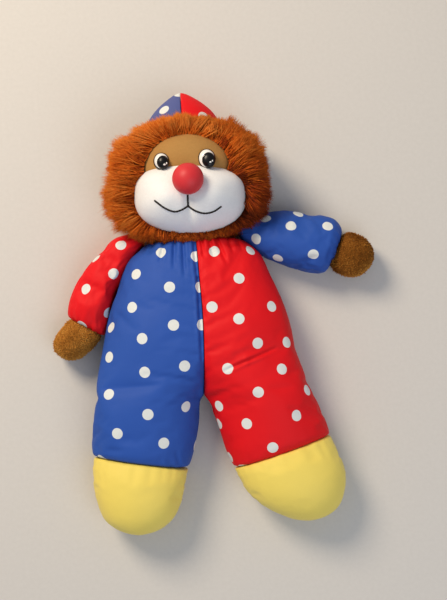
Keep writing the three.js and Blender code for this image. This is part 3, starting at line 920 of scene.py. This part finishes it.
def short_pile(piece, side):
    """Short plush fibres over a hand. The left hand's fibres get darker shades as painted shade."""
    dice = np.random.default_rng(HAND_SEED)
    mesh = piece.data
    faces = dice.choice(len(mesh.polygons), HAND_PILE_COUNT, p=face_shares(mesh))
    roots = np.array([tuple(mesh.polygons[i].center) for i in faces])
    normals = np.array([tuple(mesh.polygons[i].normal) for i in faces])
    roots = own(roots) + dice.normal(size=roots.shape) * PILE_SCATTER
    patch = brushed(roots, dice)
    lean = dice.normal(size=roots.shape) * PILE_LEAN
    tips = roots - normals * 0.3 + (normals + lean) * HAND_PILE_LENGTH
    tips[:, 2] = tips[:, 2].clip(SURFACE_GAP)
    tone = 2.7 + 1.5 * patch + dice.normal(size=len(roots)) * 0.45
    # Painted shade: the left hand's fibres get darker shades, less so towards the hand's lower end.
    if side == "left":
        tone -= 1.7 - ((36 - roots[:, 1]) / 8).clip(0, 1.4)
    tone = np.rint(tone).clip(0, 4).astype(int)
    width = dice.uniform(*PILE_WIDTHS, len(roots))
    return lock_mesh("paw_pile_" + side, roots - normals * 0.4, tips, lean * 0.1, width, tone)


def brushed(points, dice, count=90, reach=3.2):
    """Soft irregular patches, as of pile brushed different ways."""
    middles = points[dice.choice(len(points), count, replace=False)]
    away = ((points[:, None] - middles[None]) ** 2).sum(2)
    weight = np.exp(-away / (2 * reach**2)) + 1e-9
    return (weight * dice.uniform(-1, 1, count)).sum(1) / weight.sum(1)


def face_shares(mesh):
    area = np.empty(len(mesh.polygons))
    mesh.polygons.foreach_get("area", area)
    return area / area.sum()


def build_face():
    shape = MUZZLE_MIDDLE, muzzle_outline, muzzle_edge, muzzle_crown
    muzzle = dome("muzzle_form", *shape, rings=26, around=96, skirt=9)
    refine(muzzle)
    dress(muzzle, plush("muzzle_velour", rgb(238, 238, 238), 0.35 * MM, 0.3, 0.05, 700))
    ready(muzzle, "head", WHITE, "muzzle", "head_stuffing", fill=0.9)
    shape = FOREHEAD_MIDDLE, forehead_outline, forehead_edge, forehead_crown
    forehead = dome("forehead_form", *shape, rings=22, around=80)
    refine(forehead)
    dress(forehead, plush("forehead_plush", rgb(172, 130, 75), 0.3 * MM, 0.3, 0.08, 600))
    ready(forehead, "head", TAN, "forehead", fill=0.9)


def ellipsoid(name, middle, radii, rings=20, around=40):
    """A round form as rings about +z, from its lowest point up."""
    angle = ring_angles(around)
    grid = []
    for tilt in np.linspace(-math.pi / 2, math.pi / 2, rings + 2)[1:-1]:
        x, y = np.cos(tilt) * np.cos(angle), np.cos(tilt) * np.sin(angle)
        grid.append(np.column_stack([x, y, np.full(around, np.sin(tilt))]))
    return ring_mesh(name, np.array(grid) * np.array(radii) + np.array(middle))


def nose_vinyl():
    finish = Finish("nose_vinyl", rgb(204, 42, 50), 0.48, specular=0.35)
    finish.mottled(finish.rest(), 120, 3, rgb(198, 38, 48), rgb(214, 52, 56))
    finish.bump(finish.noise(finish.rest(), 900, 2), 0.25, 0.1 * MM)
    return finish.material


def eye_plastics():
    white = Finish("eye_white_plastic", rgb(244, 243, 238), 0.12, specular=0.5, coat=0.6)
    white.mottled(white.rest(), 300, 2, rgb(238, 237, 232), rgb(248, 247, 243))
    black = Finish("eye_black_plastic", rgb(8, 8, 10), 0.35, specular=0.25, coat=0.1)
    black.mottled(black.rest(), 300, 2, rgb(6, 6, 8), rgb(14, 13, 15))
    return {"white": white.material, "black": black.material}


def build_nose():
    nose = ellipsoid("nose_form", NOSE_MIDDLE, (NOSE_R, NOSE_R, NOSE_R * NOSE_DEPTH), 24, 48)
    remember_rest(nose)
    ready(dress(nose, nose_vinyl()), "head", "nose_red", "nose_ball")


def build_eyes():
    plastic = eye_plastics()
    for side, (x, y) in EYE.items():
        wide, tall = EYE_HALF[side]
        looking, pupil = (x + 0.2 * wide, y - 0.22 * tall, 73), (0.81 * wide, 0.83 * tall, 3.5)
        # Each form of the eye, from the one that lies lowest up.
        for name, middle, half, rings, around, shade, nodes in (
            ("eye_rim_", (x, y, 69.2), (wide + 0.6, tall + 0.6, 4.4), 14, 40, "black", []),
            ("eye_form_", (x, y, 69.8), (wide, tall, 5), 18, 40, "white", ["eye_white_" + side]),
            ("pupil_form_", looking, pupil, 18, 40, "black", ["eye_pupil_" + side]),
            ("eye_glint_", (x + 2.6, y - 4, 75.7), (1.1, 0.85, 0.7), 8, 16, "white", []),
            ("eye_spark_", (x + 4.4, y - 3, 75.3), (0.7, 0.95, 0.7), 8, 16, "white", []),
        ):
            piece = ellipsoid(name + side, middle, half, rings, around)
            remember_rest(piece)
            ready(dress(piece, plastic[shade]), "head", "eye_" + shade, *nodes)


MOUTH = {
    "lip": [(0.6, 97), (0.3, 93), (0.1, 88.3)],
    "left_smile": [(0.1, 88.3), (6.4, 83.4), (13.4, 81.2), (20.8, 82.2), (27.4, 85.8)],
    "right_smile": [(0.1, 88.3), (-5.6, 85.2), (-11.8, 84.4), (-19.4, 88), (-26.9, 94.6)],
}
THREAD_R, THREAD_POINTS, THREAD_RISE = 0.85, 44, 0.12
TWIST_DEPTH, TWIST_TURN = 0.12, 1.9


def tube(name, path, radius, around=8):
    """A round strand along a path of points."""
    path = np.asarray(path, float)
    ahead = unit(np.gradient(path, axis=0))
    side = unit(np.cross(ahead, (0, 0, 1)))
    up = np.cross(side, ahead)
    angle = ring_angles(around)[None, :, None]
    ring = np.cos(angle) * side[:, None] + np.sin(angle) * up[:, None]
    radii = np.asarray(radius, float).reshape(-1, 1, 1)
    return ring_mesh(name, path[:, None] + ring * radii)


def embroidery_thread():
    thread = Finish("embroidery_thread", rgb(26, 22, 22), 0.7, specular=0.25, sheen=0.1)
    rest = thread.rest()
    thread.mottled(rest, 800, 2, rgb(18, 15, 15), rgb(44, 38, 37))
    thread.bump(thread.noise(rest, 1500, 2), 0.6, 0.2 * MM)
    return thread.material


def build_mouth():
    muzzle, thread = bpy.data.objects["muzzle_form"], embroidery_thread()
    for name, line in MOUTH.items():
        path = smooth(line, THREAD_POINTS)
        points = own([tuple(p) for p in on_surface(muzzle, path)])
        points[:, 2] += THREAD_RISE
        twist = THREAD_R * (1 + TWIST_DEPTH * np.sin(np.arange(THREAD_POINTS) * TWIST_TURN))
        piece = tube("mouth_" + name, points, twist)
        remember_rest(piece)
        nodes = ["mouth_stitch"] if name == "lip" else []
        ready(dress(piece, thread), "head", "black_thread", *nodes)


HAT_LINE = [
    (194, 0.5), (192.5, 5), (188.6, 11.4), (182.8, 19), (176, 25.7), (169, 30.2), (160, 33),
    (152, 34),
]
HAT_Z, HAT_DEPTH = 28, 0.72
HAT_ROWS, HAT_STEPS, HAT_WALL, HAT_INSET, HAT_TIP_R = 30, 33, 1.2, 1, 2
BACK_DOT_SHIFT = 9  # from a hat's dot in front to the one behind
HAT_SEAM_DIP, HAT_SEAM_WIDTH, HALF_SEAM = 0.035, 0.12, 0.15


def build_hat():
    # The hat's blue is paler and greyer than the suit's, which is the same cotton: painted sheen
    # over the lit hat.
    dye_and_painted_sheen = {"blue": rgb(84, 94, 152), "red": DYE["red"]}
    keys = smooth(HAT_LINE, HAT_ROWS)
    swing = np.linspace(-math.pi / 2, math.pi / 2, HAT_STEPS)
    for colour in ("blue", "red"):
        turn = TURN[colour]
        grid = []
        for y, r in keys:
            seam = 1 - HAT_SEAM_DIP * np.exp(-((math.pi / 2 - np.abs(swing)) / HAT_SEAM_WIDTH))
            x = HALF_SEAM + np.cos(swing) * r * seam
            z = HAT_Z + np.sin(swing) * r * HAT_DEPTH * seam
            outer = np.column_stack([x * turn, np.full(HAT_STEPS, y), z])
            inner = outer[::-1].copy()
            inner[:, 0] -= turn * HAT_WALL * np.cos(swing[::-1]) * (r > HAT_TIP_R)
            inner[:, 1] -= HAT_INSET
            grid.append(np.vstack([outer, inner]))
        piece = ring_mesh("hat_" + colour, np.array(grid))
        refine(piece)
        dots = on_surface(piece, HAT_DOTS[colour])
        behind = [(x, y - BACK_DOT_SHIFT) for x, y in HAT_DOTS[colour]]
        dots += on_surface(piece, behind, from_below=True)
        dress(piece, printed_cotton(f"{colour}_hat_dotted", dye_and_painted_sheen[colour], dots))
        nodes = ["hat_panel_" + colour] + (["hat_stuffing"] if colour == "blue" else [])
        ready(piece, "head", DOTTED[colour], *nodes, fill=0.6)


# ---- mane ----
MANE_MIDDLE = np.array([0, 118, 35.0])
MANE_RADII = np.array([57, 45, 32.0])
SCALP_TOP = 36  # the backing stays below the face
LOCK_COUNT, CLUMP_COUNT, PIECE_LOCKS = 60000, 700, 12000
# The darkest shade serves mostly the painted shade under the chin and on the lower left side.
FUR_SHADES = [
    rgb(92, 32, 8), rgb(142, 54, 10), rgb(190, 88, 20), rgb(216, 112, 32), rgb(232, 138, 54)
]
FACE_PARTS = ((MUZZLE_MIDDLE, muzzle_outline), (FOREHEAD_MIDDLE, forehead_outline))
MANE_OUTLINE = (71.5, 52, 55.5, 2.37, 2.37)
MANE_BULGES = ((-2.62, 12), (-0.52, 6), (0.85, -4), (2.4, 1.5), (3.05, -5.5))  # angle, more reach
BULGE_SPREAD, MANE_SEED = 0.28, 77
LOCK_LENGTHS, LOCK_WIDTHS, LOCK_BOW = (5, 27), (0.26, 0.5), 1.3
MANE_FRONT, MANE_LOWEST = 32, 2  # no pile grows in the face above one, or at all below the other


def in_face(x, y, shrink):
    """Whether plan points are inside the face, its outline pulled in by shrink."""
    inside = np.zeros(len(x), bool)
    for middle, outline in FACE_PARTS:
        dx, dy = x - middle[0], y - middle[1]
        inside |= np.hypot(dx, dy) < outline(np.arctan2(dy, dx)) - shrink
    return inside


def mane_roots(dice, count):
    """Points that the pile grows from: over the mane and, a third, along the face's edge."""
    at = MANE_MIDDLE + unit(dice.normal(size=(count * 3, 3))) * MANE_RADII
    bare = (at[:, 2] > MANE_FRONT) & in_face(at[:, 0], at[:, 1], 3)
    spread = at[~bare & (at[:, 2] > MANE_LOWEST)][: count - count // 3]
    angle = dice.uniform(-math.pi, math.pi, count)
    edge = []
    for middle, outline in FACE_PARTS:
        reach = outline(angle) - dice.uniform(-1.3, 2.7, count)
        plan = polar(angle, reach, middle)
        low = 37 + 0.3 * (plan[:, 1] - 85).clip(0, 30) + 0.45 * (82 - plan[:, 1]).clip(0, 12)
        edge.append(np.column_stack([plan, low + dice.uniform(0, 6, count)]))
    edge = np.vstack(edge)
    edge = dice.permutation(edge[~in_face(edge[:, 0], edge[:, 1], 4.1)])
    return dice.permutation(np.vstack([spread, edge[: count - len(spread)]]))


def mane_reach(angle):
    """How far the pile stands from the middle of the mane, round its outline."""
    reach = rounded(angle, *MANE_OUTLINE)
    for middle, more in MANE_BULGES:
        away = (angle - middle + math.pi) % math.tau - math.pi
        reach = reach + more * np.exp(-((away / BULGE_SPREAD) ** 2))
    return reach


def grown(roots, dice, spread):
    """The tips of the pile that grows from the roots."""
    away = roots - MANE_MIDDLE
    angle = np.arctan2(away[:, 1], away[:, 0])
    c, s = np.cos(angle), np.sin(angle)
    swirl = 0.42 * np.sin(3 * angle + 0.8) + 0.3 * np.sin(8 * angle + away[:, 2] / 9)
    rise = (away[:, 2] / MANE_RADII[2]).clip(-1, 1)
    way = np.column_stack([c - s * swirl, s + c * swirl, 0.45 * rise + 0.1])
    way = unit(way + dice.normal(size=way.shape) * spread)
    length = (mane_reach(angle) - np.hypot(away[:, 0], away[:, 1]) + 2).clip(*LOCK_LENGTHS)
    length *= dice.uniform(0.72, 1.1, len(roots)) + 0.07 * np.sin(19 * angle + away[:, 2] / 6)
    return roots + way * length[:, None]


def build_mane():
    dice = np.random.default_rng(MANE_SEED)
    clump_roots = mane_roots(dice, CLUMP_COUNT)
    clump_tips = grown(clump_roots, dice, 0.4)
    clump_tone = dice.uniform(-1, 1, CLUMP_COUNT)
    roots = mane_roots(dice, LOCK_COUNT)
    tips = grown(roots, dice, 0.26)
    near = ((roots[:, None] - clump_roots[None]) ** 2).sum(2).argmin(1)
    tips += (clump_tips[near] - tips) * dice.uniform(0.2, 0.78, (LOCK_COUNT, 1))
    tips[:, 2] = tips[:, 2].clip(0.8)
    bow = dice.normal(size=tips.shape) * LOCK_BOW + (0, 0, 1.8)
    width = dice.uniform(*LOCK_WIDTHS, LOCK_COUNT)
    # Painted shade: the pile gets darker shades over the puppet's own left lower side and under the
    # chin, where shade falls on the mane.
    painted_shade_low_left = ((135 - roots[:, 1]) / 45).clip(0, 1) * ((roots[:, 0] - 5) / 40).clip(0, 1)
    painted_shade_under_chin = ((88 - roots[:, 1]) / 14).clip(0, 1)
    on_top = ((roots[:, 1] - 140) / 15).clip(0, 1)
    tone = 3.2 + 0.6 * on_top + 0.55 * clump_tone[near] + dice.normal(size=LOCK_COUNT) * 0.5
    # The painted shade takes the tone down by up to 2.9 shades.
    tone = np.rint(tone - np.maximum(2.9 * painted_shade_low_left, 1.5 * painted_shade_under_chin)).clip(0, 4)
    finishes = fibres("fur_", FUR_SHADES, 0.15, 0.35, 1.6)
    stands_for = {0: ["mane_ring"], 1: ["mane_back"]}
    for number in range(LOCK_COUNT // PIECE_LOCKS):
        part = slice(number * PIECE_LOCKS, (number + 1) * PIECE_LOCKS)
        chosen = (column[part] for column in (roots, tips, bow, width, tone.astype(int)))
        piece = dress(lock_mesh(f"mane_pile_{number}", *chosen), *finishes)
        ready(piece, "head", FUR, *stands_for.get(number, ()))


def lock_mesh(name, roots, tips, bow, width, tone):
    """Tapered three-sided strands, bowed, darker at the root."""
    count = len(roots)
    ahead = unit(tips - roots)
    side = unit(np.cross(ahead, (0.1, 0.2, 1.0)))
    up = np.cross(side, ahead)
    points = []
    for stop in (0, 0.35, 0.7):
        middle = roots + (tips - roots) * stop + bow * (4 * stop * (1 - stop))
        for turn in (0, math.tau / 3, 2 * math.tau / 3):
            off = side * math.cos(turn) + up * math.sin(turn)
            points.append(middle + off * (width * (1.15 - stop))[:, None])
    points = np.stack([*points, tips], axis=1)
    points[:, :, 2] = points[:, :, 2].clip(SURFACE_GAP)
    sides = [(low + a, low + (a + 1) % 3) for low in (0, 3) for a in range(3)]
    quads = [(a, b, b + 3, a + 3) for a, b in sides]
    caps = [(6, 7, 9), (7, 8, 9), (8, 6, 9)]
    faces = []
    for start in range(0, count * 10, 10):
        faces += [tuple(start + corner for corner in face) for face in (*quads, *caps)]
    mesh = bpy.data.meshes.new(name)
    mesh.from_pydata(world(points.reshape(-1, 3)).tolist(), [], faces)
    darker = np.array([1, 1, 1, 0, 0, 0, 0, 0, 0])
    shades = (tone[:, None] - darker[None]).clip(0)
    mesh.polygons.foreach_set("material_index", shades.ravel().tolist())
    return as_piece(name, mesh)


def build_scalp():
    """The backing that the pile grows from, over the sides and back of the head."""
    piece = ellipsoid("mane_backing", MANE_MIDDLE, MANE_RADII - 1, 30, 60)
    points = own(positions(piece))
    sunk = (points[:, 2] > SCALP_TOP) & in_face(points[:, 0], points[:, 1], 0)
    points[sunk, 2] = SCALP_TOP
    set_positions(piece, world(points))
    refine(piece)
    dress(piece, plush("mane_backing_cloth", rgb(150, 68, 20), 0.8 * MM, 0.2, 0.2, 300))
    ready(piece, "head", FUR)


# ---- what stays from CAD ----
def stuffing_fibre():
    fibre = Finish("stuffing_fibre", rgb(240, 238, 231), 0.9, specular=0.1, sheen=0.3)
    rest = fibre.rest(False)
    fibre.mottled(rest, 200, 4, rgb(228, 226, 218), rgb(246, 244, 238))
    fibre.bump(fibre.noise(rest, 260, 5, 0.7), 0.8, 1.2 * MM)
    return fibre.material


def tube_cardboard():
    card = Finish("tube_cardboard", rgb(176, 141, 93), 0.85, specular=0.2)
    card.mottled(card.rest(False), 220, 4, rgb(166, 131, 84), rgb(186, 152, 104))
    return card.material


def washer_nylon():
    nylon = Finish("washer_nylon", rgb(233, 230, 223), 0.4, specular=0.4)
    nylon.mottled(nylon.rest(False), 300, 2, rgb(228, 225, 217), rgb(238, 235, 229))
    return nylon.material


def finish_cad():
    """Materials for the CAD nodes that stay: the lining, the cup, the tube and small hardware."""
    lining = plain_cotton("lining_muslin", rgb(222, 214, 198), made_here=False, roughness=0.8)
    binding = plain_cotton("binding_cotton", DYE["blue"], made_here=False)
    elastic = plain_cotton("elastic_braid", rgb(240, 238, 232), made_here=False, roughness=0.7)
    cuff = {}
    for side, colour in SLEEVE_COLOUR.items():
        cuff[side] = plain_cotton("cuff_casing_" + colour, DYE[colour], made_here=False)
    material_of = {
        "lining": lining, "cup": lining, "binding": binding, "band": elastic,
        "elastic_left": cuff["left"], "elastic_right": cuff["right"],
        "tube": tube_cardboard(), "washer": washer_nylon(), "stuffing": stuffing_fibre(),
    }
    for name, node in frame["nodes"].items():
        for word, material in material_of.items():
            if word in name:
                node.data.materials.clear()
                node.data.materials.append(material)


# ---- floor, light and camera ----
LEAN = math.radians(4.6)  # how far the puppet's axis leans from the picture's
CAMERA_ELEVATION = math.radians(87)
CAMERA_DISTANCE = 950 * MM
CAMERA_LENS, SENSOR_WIDTH = 64.2, 36
TARGET = world([23.25, 12.7, 0])
FLOOR_HALF = 3.0
# Each light's place in metres, width, watts and colour.
LIGHTS = {
    "key": ((-0.62, 0.8, 0.95), 0.55, 16.5, (1.0, 0.85, 0.65)),
    "fill": ((0.45, -0.75, 1.2), 1.2, 6.5, (0.84, 0.91, 1.0)),
}
SKY_COLOUR, SKY_STRENGTH = (0.88, 0.92, 1.0, 1), 0.35


def build_stage():
    mesh = bpy.data.meshes.new("floor")
    corners = [(x * FLOOR_HALF, y * FLOOR_HALF, 0) for x, y in ((-1, -1), (1, -1), (1, 1), (-1, 1))]
    mesh.from_pydata(corners, [], [(0, 1, 2, 3)])
    floor = in_scene("floor", mesh)
    paper = Finish("floor_paper", rgb(208, 204, 199), 0.9, specular=0.1)
    paper.mottled(paper.rest(False), 300, 3, rgb(204, 200, 195), rgb(212, 208, 203))
    dress(floor, paper.material)


def aim(thing, at):
    thing.location = Vector(at)
    thing.rotation_mode = "QUATERNION"
    thing.rotation_quaternion = (Vector(TARGET) - Vector(at)).to_track_quat("-Z", "Y")


def build_lights():
    for name, (at, size, power, colour) in LIGHTS.items():
        data = bpy.data.lights.new(name, "AREA")
        data.shape, data.size, data.energy, data.color = "DISK", size, power, colour
        aim(in_scene(name, data), at)
    scene.world = bpy.data.worlds.new("studio")
    scene.world.use_nodes = True
    background = scene.world.node_tree.nodes["Background"]
    background.inputs["Color"].default_value = SKY_COLOUR
    background.inputs["Strength"].default_value = SKY_STRENGTH


def build_camera():
    scene.view_settings.view_transform = "Standard"
    data = bpy.data.cameras.new("camera")
    data.lens, data.sensor_width = CAMERA_LENS, SENSOR_WIDTH
    scene.camera = in_scene("camera", data)
    picture_up = Vector((math.sin(LEAN), math.cos(LEAN), 0))
    at = Vector(TARGET) - picture_up * (CAMERA_DISTANCE * math.cos(CAMERA_ELEVATION))
    at.z = CAMERA_DISTANCE * math.sin(CAMERA_ELEVATION)
    aim(scene.camera, at)


build_stage()
build_lights()
build_camera()
build_suit()
build_hands()
build_face()
build_nose()
build_eyes()
build_mouth()
build_hat()
build_scalp()
build_mane()
finish_cad()
